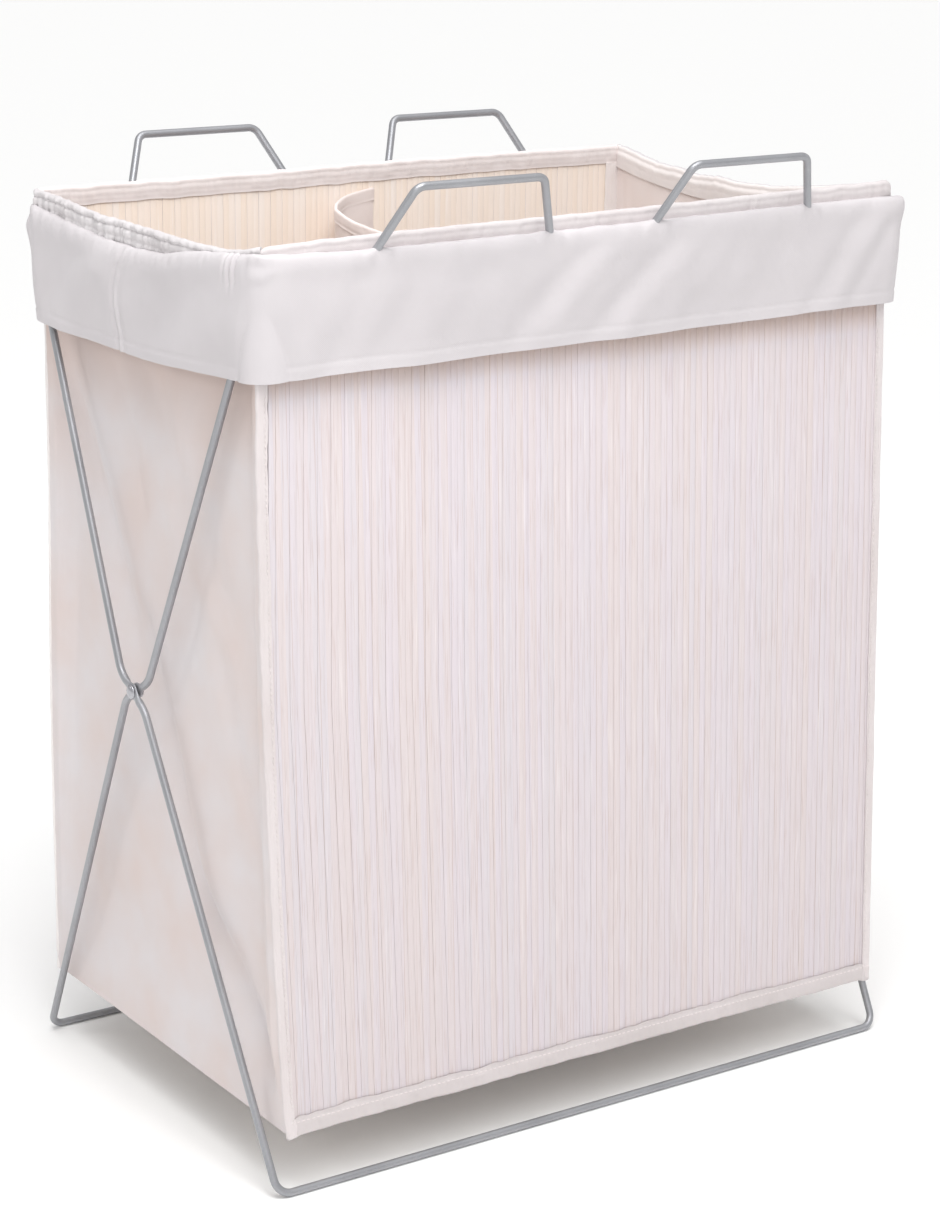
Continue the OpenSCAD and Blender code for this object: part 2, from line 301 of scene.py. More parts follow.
def blank(name):
    """New material: its node tree and its Principled shader."""
    material = bpy.data.materials.new(name)
    material.use_nodes = True
    shader = next(n for n in material.node_tree.nodes if n.type == "BSDF_PRINCIPLED")
    return material, material.node_tree, shader


def powder_coated_wire(name, base, fleck, gloss=0.4):
    # Steel wire under a silver-grey baked powder coat: soft gloss, fine orange peel, faint flakes.
    # The peel is about 0.5 mm across and is drawn at 1 mm, so that it shows.
    material, tree, shader = blank(name)
    place = add(tree, "TexCoord", out="Object")
    peel, tone, flakes = [
        add(tree, "TexNoise", {"Vector": place, "Scale": 1 / (size * MM), "Detail": detail})
        for size, detail in ((1.0, 2.0), (45, 3.0), (0.7, 1.0))
    ]
    body = add(tree, inputs={0: (tone, (0.3, 0.0), (0.7, 1.0)), 6: base, 7: fleck}, **COLOUR_MIX)
    sparse = (flakes, (0.62, 0.0), (0.75, 0.4))
    connect(tree, shader, {
        "Base Color": add(tree, inputs={0: sparse, 6: body, 7: "#cdcbcd"}, **COLOUR_MIX),
        "Roughness": add(tree, "MapRange", {"Value": tone, "To Min": gloss, "To Max": gloss + 0.1}),
        "Normal": add(tree, "Bump", {"Height": peel, "Strength": 0.25, "Distance": 0.05 * MM}),
        "Metallic": 0.65, "Coat Weight": 0.15, "Coat Roughness": 0.3,
    })
    return material


def plain_weave(name, light, shade, thread=1.4, crumple_mm=38.0, depth=0.9, painted_cuff_shadow=None):
    # Cotton and polyester cloth in plain weave: matt, slightly napped, with faint soft creases.
    # Its threads lie about 0.5 mm apart and are drawn coarser, so that the weave shows.
    material, tree, shader = blank(name)
    place = add(tree, "TexCoord", out="Object")
    laid_flat = add(tree, "TexCoord", out="UV")
    waves = []
    for axis in "XY":
        across = add(tree, "SeparateXYZ", {"Vector": laid_flat}, out=axis)
        phase = add(tree, "Math", {0: across, 1: 2 * math.pi / (thread * MM)}, operation="MULTIPLY")
        waves.append(add(tree, "Math", {0: phase}, operation="SINE"))
    knots = add(tree, "Math", {0: waves[0], 1: waves[1]}, operation="MULTIPLY")
    slub, folds, mottle = [
        add(tree, "TexNoise", {"Vector": place, "Scale": 1 / (size * MM), "Detail": detail,
                               "Distortion": distortion})
        for size, detail, distortion in ((6, 4.0, 0.0), (crumple_mm, 2.0, 0.6), (70, 3.0, 0.0))
    ]
    nap = (slub, (0.25, 0.0), (0.75, 1.0))
    tint = add(tree, inputs={0: (mottle, (0.3, 0.0), (0.7, 1.0)), 6: light, 7: shade}, **COLOUR_MIX)
    thin = add(tree, "MapRange", {"Value": knots, "From Min": -1.0, "To Min": 0.06, "To Max": 0.0})
    final = add(tree, inputs={0: thin, 6: tint, 7: shade}, **COLOUR_MIX)
    # Painted shadow of the cuff: a warm, darker band on the cloth just under its edge
    if painted_cuff_shadow:
        height = add(tree, "SeparateXYZ", {"Vector": place}, out="Z")
        near = add(tree, "MapRange", {"Value": height, "From Min": (CUFF_LOW - 70) * MM,
                                      "From Max": (CUFF_LOW + 20) * MM})
        shaded = (near, (0.0, 0.0), (0.75, 1.0), (1.0, 0.0))
        final = add(tree, inputs={0: shaded, 6: final, 7: painted_cuff_shadow}, **COLOUR_MIX)
    relief = {}
    for height, strength, rise in ((folds, 0.5, depth), (nap, 0.25, 0.12), (knots, 0.3, 0.12)):
        relief = {"Normal": add(tree, "Bump", {"Height": height, "Strength": strength,
                                               "Distance": rise * MM, **relief})}
    connect(tree, shader, {"Base Color": final, "Roughness": 0.88, "Sheen Weight": 0.12,
                           "Sheen Roughness": 0.5, **relief})
    return material


def split_slats(name, pale, warm, cool, line, painted_cuff_shadow, line_share, gloss):
    # Split reeds laid side by side: each has its own tint, a thin shadow where two meet, and fibres
    # along it. Fibres are about 0.2 mm wide and are drawn at 0.9 mm, so that they show.
    material, tree, shader = blank(name)
    place = add(tree, "TexCoord", out="Object")
    across = add(tree, "SeparateXYZ", {"Vector": place}, out="X")
    reed = add(tree, "Math", {0: across, 1: 2 / (SLAT_PITCH * MM)}, operation="MULTIPLY")
    whole = add(tree, "Math", {0: reed}, operation="FLOOR")
    other = add(tree, "Math", {0: whole, 1: 71.3}, operation="ADD")
    chance, again = [add(tree, "TexWhiteNoise", {"W": reed_number}, noise_dimensions="1D")
                     for reed_number in (whole, other)]
    # Each pattern is drawn out along the slats by its own share
    fibre, streak, fade, drift = [
        add(tree, "TexNoise", {
            "Vector": add(tree, "Mapping", {"Vector": place, "Scale": (1, 1, share)}),
            "Scale": 1 / (size * MM), "Detail": detail,
        })
        for share, size, detail in ((0.006, 0.9, 3.0), (0.03, 2.6, 2.0), (0.12, 9, 2.0),
                                    (1, 120, 2.0))
    ]
    tinted = pale
    for share, tint in (((chance, (0.25, 0.0), (0.8, 1.0)), warm),
                        ((again, (0.55, 0.0), (0.95, 0.8)), cool),
                        ((drift, (0.45, 0.0), (0.75, 0.5)), warm)):
        tinted = add(tree, inputs={0: share, 6: tinted, 7: tint}, **COLOUR_MIX)
    # A joint lies every half pitch, and every second one is open enough to show dark
    joint, open_joint = [add(tree, "Math", {0: reed, 1: spacing}, operation="PINGPONG")
                         for spacing in (1.0, 2.0)]
    both = add(tree, "Math", {0: (joint, (0.0, 0.35), (0.09, 0.0)),
                              1: (open_joint, (0.0, 1.0), (0.065, 0.0))}, operation="MAXIMUM")
    shown = add(tree, "Math", {0: both, 1: (fade, (0.3, 0.25), (0.62, 1.0))}, operation="MULTIPLY")
    dark = add(tree, "Math", {0: shown, 1: (fibre, (0.34, line_share), (0.44, 0.0))},
               operation="MAXIMUM")
    faint = add(tree, "Math", {0: dark, 1: 0.75}, operation="MULTIPLY")
    lined = add(tree, inputs={0: faint, 6: tinted, 7: line}, **COLOUR_MIX)
    # Painted shadow of the cuff: a warm, darker band on the reeds just under its edge
    height = add(tree, "SeparateXYZ", {"Vector": place}, out="Z")
    near = add(tree, "MapRange", {"Value": height, "From Min": (CUFF_LOW - 15) * MM,
                                  "From Max": (CUFF_LOW + 14) * MM})
    cuff_shadow_share = (near, (0.0, 0.0), (0.55, 0.6), (0.75, 0.6), (1.0, 0.0))
    lined = add(tree, inputs={0: cuff_shadow_share, 6: lined, 7: painted_cuff_shadow}, **COLOUR_MIX)
    # Pale streaks along the fibres, painted in as highlights
    painted_streak_highlight = (streak, (0.6, 0.0), (0.78, 0.3))
    low = add(tree, "Bump", {"Height": fibre, "Strength": 0.35, "Distance": 0.15 * MM})
    connect(tree, shader, {
        "Base Color": add(tree, inputs={0: painted_streak_highlight, 6: lined, 7: "#f7f2f1"}, **COLOUR_MIX),
        "Normal": add(tree, "Bump", {"Height": streak, "Strength": 0.3, "Distance": 0.3 * MM,
                                     "Normal": low}),
        "Roughness": gloss,
    })
    return material


def spun_thread(name, base, shade):
    # Polyester sewing thread, two plies twisted: a soft lustre and a slanting twist of 0.5 mm,
    # drawn at 0.8 mm.
    material, tree, shader = blank(name)
    place = add(tree, "TexCoord", out="Object")
    slant = add(tree, "Mapping", {"Vector": place, "Rotation": (0.6, 0.6, 0.6)})
    ply = add(tree, "TexWave", {"Vector": slant, "Scale": 0.314 / (0.8 * MM)}, out="Fac")
    connect(tree, shader, {
        "Base Color": add(tree, inputs={0: ply, 6: shade, 7: base}, **COLOUR_MIX),
        "Normal": add(tree, "Bump", {"Height": ply, "Strength": 0.4, "Distance": 0.1 * MM}),
        "Roughness": 0.6,
    })
    return material


def matt_backdrop(name):
    # Matt white studio paper with a faint tooth.
    material, tree, shader = blank(name)
    place = add(tree, "TexCoord", out="Object")
    tooth = add(tree, "TexNoise", {"Vector": place, "Scale": 1 / (4 * MM), "Detail": 2.0})
    paper = add(tree, inputs={0: tooth, 6: "#fcfcfb", 7: "#fdfdfc"}, **COLOUR_MIX)
    connect(tree, shader, {"Base Color": paper, "Roughness": 0.9})
    return material


WIRE = powder_coated_wire("powder_coated_steel_wire", "#9d9ea2", "#aaabaf")
RIVET = powder_coated_wire("powder_coated_rivet_steel", "#a5a5aa", "#b4b4b9", gloss=0.16)
CUFF_CLOTH = plain_weave("plain_weave_cuff_cloth", "#d2cdcf", "#ccc7c9")
# The side cloth has a painted shadow just under the cuff.
SIDE_CLOTH = plain_weave("plain_weave_side_cloth", "#dfd9da", "#ddcfcb", crumple_mm=60.0,
                         depth=1.6, painted_cuff_shadow="#d8c4bc")
# A lighter copy of the side cloth for its inside faces: painted light, standing in for the light
# inside the bag.
SIDE_INSIDE_PAINTED_LIGHTER = plain_weave("plain_weave_side_inside_painted_lighter", "#f4ecea", "#f0e4e0",
                           crumple_mm=60.0, depth=1.6)
BAND_CLOTH = plain_weave("gathered_plain_weave_band", "#d7d3d4", "#cec9ca",
                         crumple_mm=9.0, depth=0.8)
# A lighter copy of the band cloth for its inside faces: painted light.
BAND_INSIDE_PAINTED_LIGHTER = plain_weave("gathered_band_inside", "#f3edeb", "#ebe4e2", crumple_mm=9.0, depth=0.5)
# The rear hem is a lighter copy of the front hem's cloth: painted light, standing in for the light
# inside the bag.
HEM_CLOTH = {
    face: plain_weave(f"folded_plain_weave_{end}_hem", light, shade, crumple_mm=14.0, depth=0.6)
    for face, end, light, shade in ((-1, "front", "#d8d2d2", "#d2caca"),
                                    (1, "rear", "#efe8e7", "#e9e0de"))
}
# The rear tapes are a lighter copy of the front tapes' cloth: painted light, standing in for the
# light inside the bag.
TAPE_CLOTH = {
    face: plain_weave(f"folded_{end}_binding_tape", light, shade, thread=1.0, crumple_mm=12.0,
                      depth=0.4)
    for face, end, light, shade in ((-1, "front", "#dfd7d7", "#d8cfce"),
                                    (1, "rear", "#f5f0ee", "#efe8e6"))
}
FOOT_CLOTH = plain_weave("folded_plain_weave_foot_hem", "#d3cbcb", "#cbc3c2",
                         crumple_mm=9.0, depth=0.9)
DIVIDER_CLOTH = plain_weave("thin_plain_weave_divider", "#f2e8e5", "#ecdfda",
                            crumple_mm=30.0, depth=1.2)
BOARD_CLOTH = plain_weave("plain_weave_over_board", "#e3dcd8", "#dad1cc",
                          crumple_mm=50.0, depth=0.7)
# Both reed panels have a painted shadow just under the cuff.
WHITE_SLATS = split_slats("whitewashed_split_reed", "#d9d0d5", "#dacfcf", "#d7d0d4", "#b99e93",
                          painted_cuff_shadow="#d6bcae", line_share=0.35, gloss=0.55)
BARE_SLATS = split_slats("natural_split_reed", "#efe2d7", "#eedfd1", "#efe5dd", "#e8d8c9",
                         painted_cuff_shadow="#eedfd1", line_share=0.12, gloss=0.6)
THREAD = spun_thread("spun_polyester_thread", "#e9e1e0", "#d3c9c8")


# ---- Wires ----

def ring(at, along, thick=WIRE_D):
    """Circle of vertices across a wire, ready to be drawn out."""
    deselect()
    turn = along.to_track_quat("Z", "X").to_euler()
    bpy.ops.mesh.primitive_circle_add(vertices=20, radius=thick / 2 * MM, location=at * MM,
                                      rotation=turn)
    bpy.ops.object.transform_apply()
    piece = bpy.context.object
    edit(piece)
    return piece


def draw_out(step):
    """Draws the selected ring out by a step."""
    bpy.ops.mesh.extrude_region_move(TRANSFORM_OT_translate={"value": step * MM})


def turn_round(corner, before, after, radius):
    """Spins the selected ring round a bend at a corner between two directions."""
    angle = before.angle(after)
    inward = (after - before).normalized()
    centre = corner + inward * radius / math.cos(angle / 2)
    axis = before.cross(after).normalized()
    bpy.ops.mesh.spin(steps=8, angle=-angle, center=centre * MM, axis=axis,
                      use_auto_merge=False)


def press_eye(at, middle, along, side):
    """Draws the selected ring on through the flat eye round the middle, pressed to a side. Gives
    the place reached."""
    thick, wide = WIRE_D, WIRE_D
    first_half = [(-s, t, w) for s, t, w in EYE]
    for place, next_thick, next_wide in first_half + list(EYE[-2::-1]):
        pressed = (WIRE_D - next_thick) / (WIRE_D - EYE_T)
        target = middle + along * place + Vector((side * pressed * (EYE_MIDDLE - WIRE_SHIFT), 0, 0))
        draw_out(target - at)
        across = next_wide / wide
        bpy.ops.transform.resize(value=(next_thick / thick, across, across),
                                 center_override=target * MM)
        at, thick, wide = target, next_thick, next_wide
    return at


def bend_wire(points, radii, eye_at=None, side=1):
    """Wire through points with a bend at each inner one; eye_at is the stretch with the eye."""
    points = [Vector(p) for p in points]
    ways = [(b - a).normalized() for a, b in zip(points, points[1:])]
    piece = ring(points[0], ways[0])
    at = points[0]
    for i, along in enumerate(ways):
        last = i == len(ways) - 1
        cut = 0 if last else radii[i] * math.tan(along.angle(ways[i + 1]) / 2)
        end = points[i + 1] - along * cut
        if i == eye_at:
            at = press_eye(at, (points[i] + points[i + 1]) / 2, along, side)
        draw_out(end - at)
        if not last:
            turn_round(points[i + 1], along, ways[i + 1], radii[i])
            at = points[i + 1] + ways[i + 1] * cut
    leave_edit()
    return piece


def wire_frame(name, back, body, nodes):
    """One bent wire: floor bar, legs and rail. back is 1 where the rail is at the back, else -1."""
    shift = back * WIRE_SHIFT
    piece = bend_wire(
        [
            (0, -back * FLOOR_Y, WIRE_D / 2),
            (FLOOR_X, -back * FLOOR_Y, WIRE_D / 2),
            (PIVOT_X + shift, -back * KINK_Y, PIVOT_H - KINK_Z),
            (PIVOT_X + shift, back * KINK_Y, PIVOT_H + KINK_Z),
            (RAIL_X, back * RAIL_Y, RAIL_H),
            (0, back * RAIL_Y, RAIL_H),
        ],
        [CORNER_R, KINK_R, KINK_R, CORNER_R],
        eye_at=2, side=back,
    )
    apply_modifier(piece, "MIRROR", use_axis=(True, False, False), merge_threshold=0.05 * MM)
    close_up(piece)
    smooth(piece, 60)
    paint(piece, WIRE)
    return dress(named(piece, name), body, nodes)


def handle(name, back, side, body, node):
    """Handle bent from one wire, with its feet sunk in the weld on the rail."""
    lean = math.atan((RAIL_Y - KINK_Y) / (RAIL_H - PIVOT_H - KINK_Z))
    rise = Vector((0, back * math.sin(lean), math.cos(lean))) * HANDLE_H
    foot = Vector((side * HANDLE_X, back * RAIL_Y, RAIL_H))
    base, top = Vector((HANDLE_BASE / 2, 0, 0)), Vector((HANDLE_TOP / 2, 0, 0))
    piece = bend_wire([foot - base, foot + rise - top, foot + rise + top, foot + base],
                      [HANDLE_R] * 2)
    cap_ends(piece)
    close_up(piece)
    smooth(piece, 60)
    paint(piece, WIRE)
    return dress(named(piece, name), body, [node])


def cap_ends(piece):
    """Fills every open ring of the piece."""
    edit(piece, "DESELECT")
    bpy.ops.mesh.select_non_manifold()
    bpy.ops.mesh.fill()
    leave_edit()


def rivet(name, side, node):
    """Rivet: a domed head outside, a shank through the two eyes and a pressed head inside."""
    reach, shank_r, dome_h, head_r, tail_r, tail_h = 3.5, 2.0, 2.6, 5.7, 5.2, 1.4
    # Radius of the next ring and the step out to it
    profile = [(tail_r - 0.5, 0.0), (tail_r, 0.5), (tail_r, 0.5), (tail_r - 0.4, 0.4),
               (shank_r, 0.0), (shank_r, 2 * reach), (head_r, 0.0), (head_r, 0.35)]
    dome = [(head_r * math.cos(a), dome_h * math.sin(a)) for a in (0.35, 0.7, 1.05, 1.35)]
    heights = [0.35] + [h for _, h in dome]
    profile += [(r, max(h - before, 0.05)) for (r, h), before in zip(dome, heights)]
    middle = Vector((side * (PIVOT_X - reach - tail_h), 0, PIVOT_H))
    piece = ring(middle, Vector((side, 0, 0)), thick=2 * (tail_r - 1.0))
    bpy.ops.mesh.edge_face_add()
    now = tail_r - 1.0
    for radius, step in profile:
        bpy.ops.mesh.extrude_region_move(TRANSFORM_OT_translate={"value": (side * step * MM, 0, 0)})
        middle = middle + Vector((side * step, 0, 0))
        share = radius / now
        bpy.ops.transform.resize(value=(1, share, share), center_override=middle * MM)
        now = radius
    leave_edit()
    close_up(piece, 0.002)
    smooth(piece, 35)
    paint(piece, RIVET)
    return dress(named(piece, name), "rivets", [node])


# ---- Cloth ----

def cloth(name, size, columns, rows, place, material, thick):
    """Sheet of cloth: place(u, v) gives the point of the grid's column u and row v, each 0 to 1.
    size is its width and height, and sets the scale of its UV map."""
    deselect()
    bpy.ops.mesh.primitive_grid_add(x_subdivisions=columns, y_subdivisions=rows, size=2)
    piece = named(bpy.context.object, name)
    for corner in piece.data.uv_layers.active.data:
        corner.uv = (corner.uv[0] * size[0] * MM, corner.uv[1] * size[1] * MM)
    for vertex in piece.data.vertices:
        point = place((vertex.co.x + 1) / 2, (vertex.co.y + 1) / 2)
        vertex.co = Vector(point) * MM
    apply_modifier(piece, "SOLIDIFY", thickness=thick * MM, offset=0, use_even_offset=False)
    smooth(piece, 60)
    paint(piece, material)
    return piece


def folded_edge(u, first, second, thick):
    """Point of a cloth folded round an edge: how far from the fold, and how far across from the
    middle. u runs from the first side's free edge, round the fold, to the second side's."""
    r = thick / 2
    bend = math.pi * r
    length = (first - r) + bend + (second - r)
    s = u * length
    if s < first - r:
        return first - s, -r
    if s > first - r + bend:
        return r + s - (first - r + bend), r
    a = (s - (first - r)) / r
    return r - r * math.sin(a), -r * math.cos(a)


def bow_out(x, z):
    """Place along X of a point of the bag's front, whose left edge bows out below the rim."""
    return x - between(FRONT_LEFT_BOW, z) * max(-x / BAG_HALF, 0)


def settle(x, y, z):
    """Where a point of the bag comes to rest: the back hangs a little short, with its left edge
    drawn in, and the front's left edge bows out."""
    x += (bow_out(x, z) - x) * ease((-y - 146) / 36)
    back = ease((y + 190) / 370)
    x += 4.2 * back * max(-x / BAG_HALF, 0) * ease((z - 240) / 280) * ease((705 - z) / 60)
    return x, y, z + (2.0 + 4.2 * back) * ease((300 - z) / 250)


def on_panel(face, x, inwards, up):
    """Point from a panel's own frame, which lies on the rail and leans with the panel."""
    y = RAIL_Y - (inwards * math.cos(PANEL_LEAN) + up * math.sin(PANEL_LEAN))
    z = RAIL_H - inwards * math.sin(PANEL_LEAN) + up * math.cos(PANEL_LEAN)
    return settle(x, y, z) if face > 0 else (bow_out(x, z), -y, z)


def panel_stitches(name, face, start, count, along_x, body):
    """Row of stitches on a panel, along X or upwards from a start in the panel's frame."""
    size = (STITCH_LONG, STITCH_WIDE, STITCH_WIDE)
    step = (STITCH_STEP, 0, 0)
    piece = block(size if along_x else size[::-1])
    edit(piece)
    bpy.ops.mesh.bevel(offset=0.22 * MM, segments=1)
    leave_edit()
    repeat(piece, count, step if along_x else step[::-1])
    reshape(piece, lambda x, y, z: on_panel(face, start[0] + x, start[1] - y, start[2] + z))
    close_up(piece, 0.0005)
    smooth(piece, 60)
    paint(piece, THREAD)
    return dress(named(piece, name), body, [])


# ---- Slat panels ----

def slat_panel(face, side_name, body):
    """Split slats side by side: pairs of narrow strips, white outside and natural inside."""
    low = -PANEL_LEN + 2
    high = RIM_HEM - 4
    narrow = SLAT_PITCH / 2
    edge_round, slit = (0.3, 0.04) if face < 0 else (0.14, 0.01)
    piece = block((narrow - slit, SLAT_T, high - low))
    edit(piece)
    bpy.ops.mesh.subdivide(number_cuts=1)
    leave_edit()
    apply_modifier(piece, "BEVEL", width=edge_round * MM, segments=2, limit_method="ANGLE")
    count = 2 * round((BAG_HALF - 4) / narrow)
    repeat(piece, count, (narrow, 0, 0))
    first = -(count - 1) / 2 * narrow

    def move(x, y, z):
        strip = round(x / narrow)
        chance = ripple(strip * 7.31, 0.5, 3)
        wobble = ripple(strip * 3.7, z / 160, 5)
        pair = 0.05 if strip % 2 else -0.05
        inwards = PANEL_MID + y + 0.1 * chance + 0.04 * wobble
        return on_panel(face, first + x + pair, inwards, (low + high) / 2 + z)

    reshape(piece, move)
    close_up(piece, 0.0005)
    smooth(piece, 35)
    paint(piece, WHITE_SLATS, BARE_SLATS)
    for polygon in piece.data.polygons:
        polygon.material_index = 1 if polygon.normal.y * face < -0.5 else 0
    return dress(named(piece, side_name + "_slat_panel"), body, [side_name + "_slats"])


def edge_tape(face, side, name):
    """Folded tape round an upright edge of a slat panel, a little puckered by its seam."""
    low, high = -PANEL_LEN - 0.5, 6

    def place(u, v):
        z = low + (high - low) * v
        # Over the ends of the foot hem it is thicker and crumpled
        foot = ease((FOOT_HEM + 3 - z + low) / 9)
        depth, across = folded_edge(u, TAPE_W, TAPE_IN_W, PANEL_T + 0.6 + 1.5 * foot)
        seam = hump(depth - TAPE_W + 1.6, 1.1) if depth > 3 else 0
        pucker = (1 + 1.6 * foot) * ripple(z / 9, depth / 9, 11 + side + face)
        pucker += 0.9 * ripple(depth / 1.5, z / 70, 15 + side + face) * ease(depth / 2)
        layers = 0.35 * hump(depth - 3.0, 0.9) + 0.25 * hump(depth - 5.6, 0.8)
        across = across - math.copysign(1, across) * (0.45 * seam + layers) + 0.22 * pucker
        depth -= 0.8 * foot * ripple(z / 5, 1, 17 + side)
        depth = depth - 0.35 * ripple(z / 40, 0, 21 + side) - 0.25 * pucker
        return on_panel(face, side * (BAG_HALF + 0.2 - depth), PANEL_MID + across, z)

    return cloth(name, (TAPE_W + TAPE_IN_W + 3, high - low), 28, 210, place, TAPE_CLOTH[face],
                 TAPE_T)


def foot_hem(face, side_name, body):
    """Hem folded round a slat panel's bottom edge; its ends are pressed flat over the tapes."""
    def place(u, v):
        x = (2 * v - 1) * (BAG_HALF - 1.4)
        end = ease(1.4 - (BAG_HALF - abs(x)) / 9)
        uneven = 1.2 * ripple(x / 60, 0, 31 + face) + 0.7 * ripple(x / 9, 0, 32)
        width = FOOT_HEM + uneven * (1 - end)
        depth, across = folded_edge(u, width, width - 1, PANEL_T + 1.3 - 1.0 * end)
        # The free edge is sewn down tight on the slats
        flat = ease((depth - width + 5) / 4) * (1 - end)
        across -= math.copysign(1, across) * (0.62 * flat + 0.4 * hump(depth - width + 3.4, 1.2))
        pucker = ripple(x / 11, depth / 14, 33 + face) + 0.7 * ripple(x / 5.5, depth / 9, 35)
        across += 0.5 * pucker * (1 - 0.7 * flat)
        # The slats show through as faint upright ribs
        rib = abs(math.sin(math.pi * x / (SLAT_PITCH / 2)))
        across += math.copysign(0.3, across) * (rib - 0.6) * ease((depth - 3) / 3) * (1 - end)
        depth = depth + 0.5 * ripple(x / 50, 0, 37 + face)
        return on_panel(face, x, PANEL_MID + across, -PANEL_LEN + depth - 2.0 * end)

    piece = cloth(side_name + "_foot_binding", (2 * FOOT_HEM + 4, 2 * BAG_HALF), 30, 400, place,
                  FOOT_CLOTH, FOOT_HEM_T)
    return dress(piece, body, [side_name + "_foot_hem"])


# Heights of the rim and of the seam where the cuff starts, along Y: left, -1, and right, 1
SIDE_LINES = {
    -1: (((-178, 699), (-150, 694.5), (-110, 692), (-45, 692.8), (30, 694.8), (90, 697.5),
          (140, 702), (178, 704)),
         ((-176, 694.5), (-150, 691.4), (-112, 688.6), (-80, 685), (-40, 679), (28, 678.8),
          (98, 684), (135, 688), (178, 692))),
    1: (((-178, 708), (-120, 699), (-60, 691.8), (-28, 689.6), (0, 689), (27, 690.8), (55, 689.4),
         (84, 691.9), (125, 696.2), (178, 705)),
        ((-178, 695), (-120, 686), (-28, 677.5), (11, 675.6), (65, 676.5), (135, 684), (178, 692))),
}
# The same along X: front, -1, and rear, 1
END_LINES = {
    -1: (((-280, 699), (-190, 701.6), (0, 703.3), (190, 706.4), (280, 708)),
         ((-280, 693.6), (-235, 691.8), (-190, 691), (0, 692.6), (190, 694.8), (280, 695.6))),
    1: (((-280, 703.6), (-100, 703.8), (100, 705.2), (280, 704.6)),
        ((-280, 691.6), (0, 692.4), (280, 692.4))),
}


def rim_hem(face, side_name, body):
    """Hem along a slat panel's top: cloth folded over the edge, gathered a little by its seams."""
    rim, seam_line = END_LINES[face]

    def place(u, v):
        # The front one stands out past the corner at its right end
        reach = BAG_HALF + (4.6 if face < 0 and v > 0.5 else 1.2)
        x = (2 * v - 1) * reach
        # The ends are rounded off and pinched shut
        end = min(max((abs(x) - reach + 9) / 9, 0), 1)
        off = 1 - math.sqrt(1 - 0.98 * end ** 2)
        corner = hump(reach - abs(x), 16)
        top = between(rim, x) - RAIL_H + 0.55 * ripple(x / 16, 0, 41 + face) - 5.5 * off
        outside = top + RAIL_H - between(seam_line, x) + 7
        thick = (PANEL_T + 1.6) * (1 - off) + 0.15 * (1 - end)
        depth, across = folded_edge(u, outside, RIM_HEM, thick)
        ridge = hump(depth - 4.4, 1.2) * 0.25 + hump(depth - 9.6, 1.4) * 0.3
        gather = ripple(x / 4.6, depth / 26, 43 + face)
        gather += 0.8 * ripple(x / 12, depth / 20, 45 + face)
        fade = ease(depth / 4)
        # The free edge inside is sewn down tight on the slats, and at the front the outer one too
        flat = ease((depth - RIM_HEM + 6) / 5) * (1 - off) if across * face > 0 or u > 0.5 else 0
        across -= math.copysign(1, across) * (ridge * fade + 0.75 * flat)
        across += (0.3 + 0.5 * corner) * gather * (0.35 + fade) * (1 - off) * (1 - 0.7 * flat)
        return on_panel(face, x, PANEL_MID - 0.2 + across, top - depth)

    piece = cloth(side_name + "_rim_binding", (36, 2 * BAG_HALF), 44, 460, place,
                  HEM_CLOTH[face], HEM_T)
    return dress(piece, body, [side_name + "_rim_hem"])


def rail_casing(face, side_name, body):
    """Channel of cloth round the rail, sewn to the rim hem."""
    half = RAIL_X - CORNER_R - 3

    def place(u, v):
        x = (2 * v - 1) * half
        r = WIRE_D / 2 + 0.9 + 0.25 * ripple(x / 16, u * 2, 51 + face)
        turned = math.pi * ease(min(u / 0.65, 1))
        if u > 0.65:
            return on_panel(face, x, -r, -(u - 0.65) / 0.35 * 9)
        return on_panel(face, x, r * math.cos(turned), r * math.sin(turned) + 0.2)

    piece = cloth(side_name + "_rail_sleeve", (26, 2 * half), 24, 180, place,
                  HEM_CLOTH[face], HEM_T)
    return dress(piece, body, [side_name + "_rail_casing"])


# ---- Cuff ----

CUFF_X = CUFF_OUT_X - 1.0
CUFF_Y = CUFF_OUT_Y - 1.0
CUFF_R = CUFF_Y - CUFF_END_Y - 0.15
SEAM_IN_X = CUFF_X - BAND_OUT - 0.1
SEAM_IN_Y = CUFF_Y - RAIL_Y + WIRE_D / 2 + 0.6


def cuff_plan(s):
    """Point and outward direction on the cuff's plan at s: 0 to 1 along the front, 1 to 2 round the
    right front corner, 2 to 3 along the right side, and so on round the loop."""
    part, t = int(s) % 8, s - int(s)
    side = part // 2
    if part % 2:
        a = math.radians((-90, 0, 90, 180)[side] + 90 * t)
        cx, cy = ((1, -1), (1, 1), (-1, 1), (-1, -1))[side]
        middle = Vector((cx * (CUFF_X - CUFF_R), cy * (CUFF_Y - CUFF_R), 0))
        out = Vector((math.cos(a), math.sin(a), 0))
        return middle + out * CUFF_R, out
    hx, hy = CUFF_X - CUFF_R, CUFF_Y - CUFF_R
    return (
        (Vector(((2 * t - 1) * hx, -CUFF_Y, 0)), Vector((0, -1, 0))),
        (Vector((CUFF_X, (2 * t - 1) * hy, 0)), Vector((1, 0, 0))),
        (Vector(((1 - 2 * t) * hx, CUFF_Y, 0)), Vector((0, 1, 0))),
        (Vector((-CUFF_X, (1 - 2 * t) * hy, 0)), Vector((-1, 0, 0))),
    )[side]


def seam_height(p, out):
    """Height of the cuff's seam at a point of its plan."""
    across, along = abs(out.x), abs(out.y)
    side = between(SIDE_LINES[-1 if p.x < 0 else 1][1], p.y)
    end = between(END_LINES[-1 if p.y < 0 else 1][1], p.x)
    share = ease(across / (across + along))
    return end * (1 - share) + side * share


